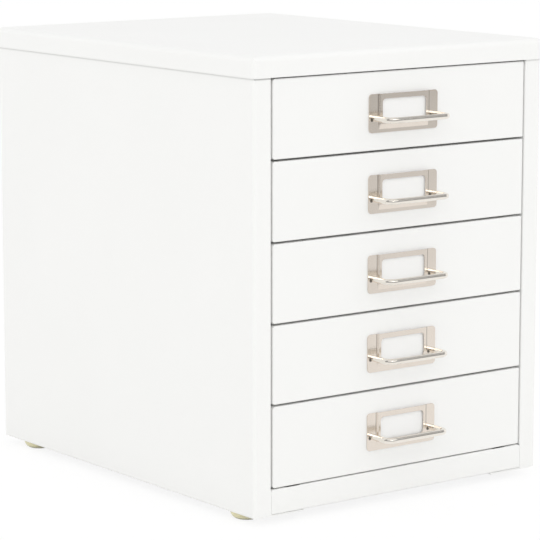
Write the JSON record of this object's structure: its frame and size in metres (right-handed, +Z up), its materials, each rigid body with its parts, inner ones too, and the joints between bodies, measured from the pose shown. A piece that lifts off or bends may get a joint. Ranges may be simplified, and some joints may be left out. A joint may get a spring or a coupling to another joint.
{
  "type": "desktop drawer cabinet",
  "caption": "Small white sheet-steel drawer cabinet for A4 paper, with five shallow drawers, card-holder pulls, a folded top cap, a plinth and stick-on feet.",
  "frame": {"origin": "middle of the bounding box, on the floor", "axes": "+X to the right along the front, +Y from the front to the back, +Z up"},
  "size_m": [0.279, 0.3716, 0.345],
  "materials": {
    "white_carcass": "satin white powder coat",
    "white_drawers": "satin white powder coat",
    "amber_feet": "translucent amber polyurethane",
    "black_rubber": "matt",
    "white_nylon": "satin",
    "nickel_plate": "nickel plated, satin",
    "nickel_wire": "nickel plated, bright",
    "zinc_washers": "zinc plated",
    "white_card": "plain white card"
  },
  "bodies": {
    "cabinet": {"top_cap": "white_carcass", "side_panel_left": "white_carcass", "side_panel_right": "white_carcass", "back_panel": "white_carcass", "base_panel": "white_carcass", "plinth": "white_carcass", "top_rail": "white_carcass", "foot_front_left": "amber_feet", "foot_front_right": "amber_feet", "foot_rear_left": "amber_feet", "foot_rear_right": "amber_feet", "runner_left_1": "white_carcass", "runner_left_2": "white_carcass", "runner_left_3": "white_carcass", "runner_left_4": "white_carcass", "runner_left_5": "white_carcass", "runner_right_1": "white_carcass", "runner_right_2": "white_carcass", "runner_right_3": "white_carcass", "runner_right_4": "white_carcass", "runner_right_5": "white_carcass", "runner_bumpers": "black_rubber", "runner_pads": "white_nylon"},
    "drawer_1": {"drawer_front_1": "white_drawers", "drawer_tray_1": "white_drawers", "card_holder_1": "nickel_plate", "pull_1": "nickel_wire", "pull_washers_1": "zinc_washers", "label_card_1": "white_card", "glides_1": "white_nylon"},
    "drawer_2": {"drawer_front_2": "white_drawers", "drawer_tray_2": "white_drawers", "card_holder_2": "nickel_plate", "pull_2": "nickel_wire", "pull_washers_2": "zinc_washers", "label_card_2": "white_card", "glides_2": "white_nylon"},
    "drawer_3": {"drawer_front_3": "white_drawers", "drawer_tray_3": "white_drawers", "card_holder_3": "nickel_plate", "pull_3": "nickel_wire", "pull_washers_3": "zinc_washers", "label_card_3": "white_card", "glides_3": "white_nylon"},
    "drawer_4": {"drawer_front_4": "white_drawers", "drawer_tray_4": "white_drawers", "card_holder_4": "nickel_plate", "pull_4": "nickel_wire", "pull_washers_4": "zinc_washers", "label_card_4": "white_card", "glides_4": "white_nylon"},
    "drawer_5": {"drawer_front_5": "white_drawers", "drawer_tray_5": "white_drawers", "card_holder_5": "nickel_plate", "pull_5": "nickel_wire", "pull_washers_5": "zinc_washers", "label_card_5": "white_card", "glides_5": "white_nylon"}
  },
  "joints": [
    {"name": "drawer_1_slide", "type": "slide", "parent": "cabinet", "child": "drawer_1", "axis": [0, -1, 0], "range_m": [0, 0.2667]},
    {"name": "drawer_2_slide", "type": "slide", "parent": "cabinet", "child": "drawer_2", "axis": [0, -1, 0], "range_m": [0, 0.2667]},
    {"name": "drawer_3_slide", "type": "slide", "parent": "cabinet", "child": "drawer_3", "axis": [0, -1, 0], "range_m": [0, 0.2667]},
    {"name": "drawer_4_slide", "type": "slide", "parent": "cabinet", "child": "drawer_4", "axis": [0, -1, 0], "range_m": [0, 0.2667]},
    {"name": "drawer_5_slide", "type": "slide", "parent": "cabinet", "child": "drawer_5", "axis": [0, -1, 0], "range_m": [0, 0.2667]}
  ]
}
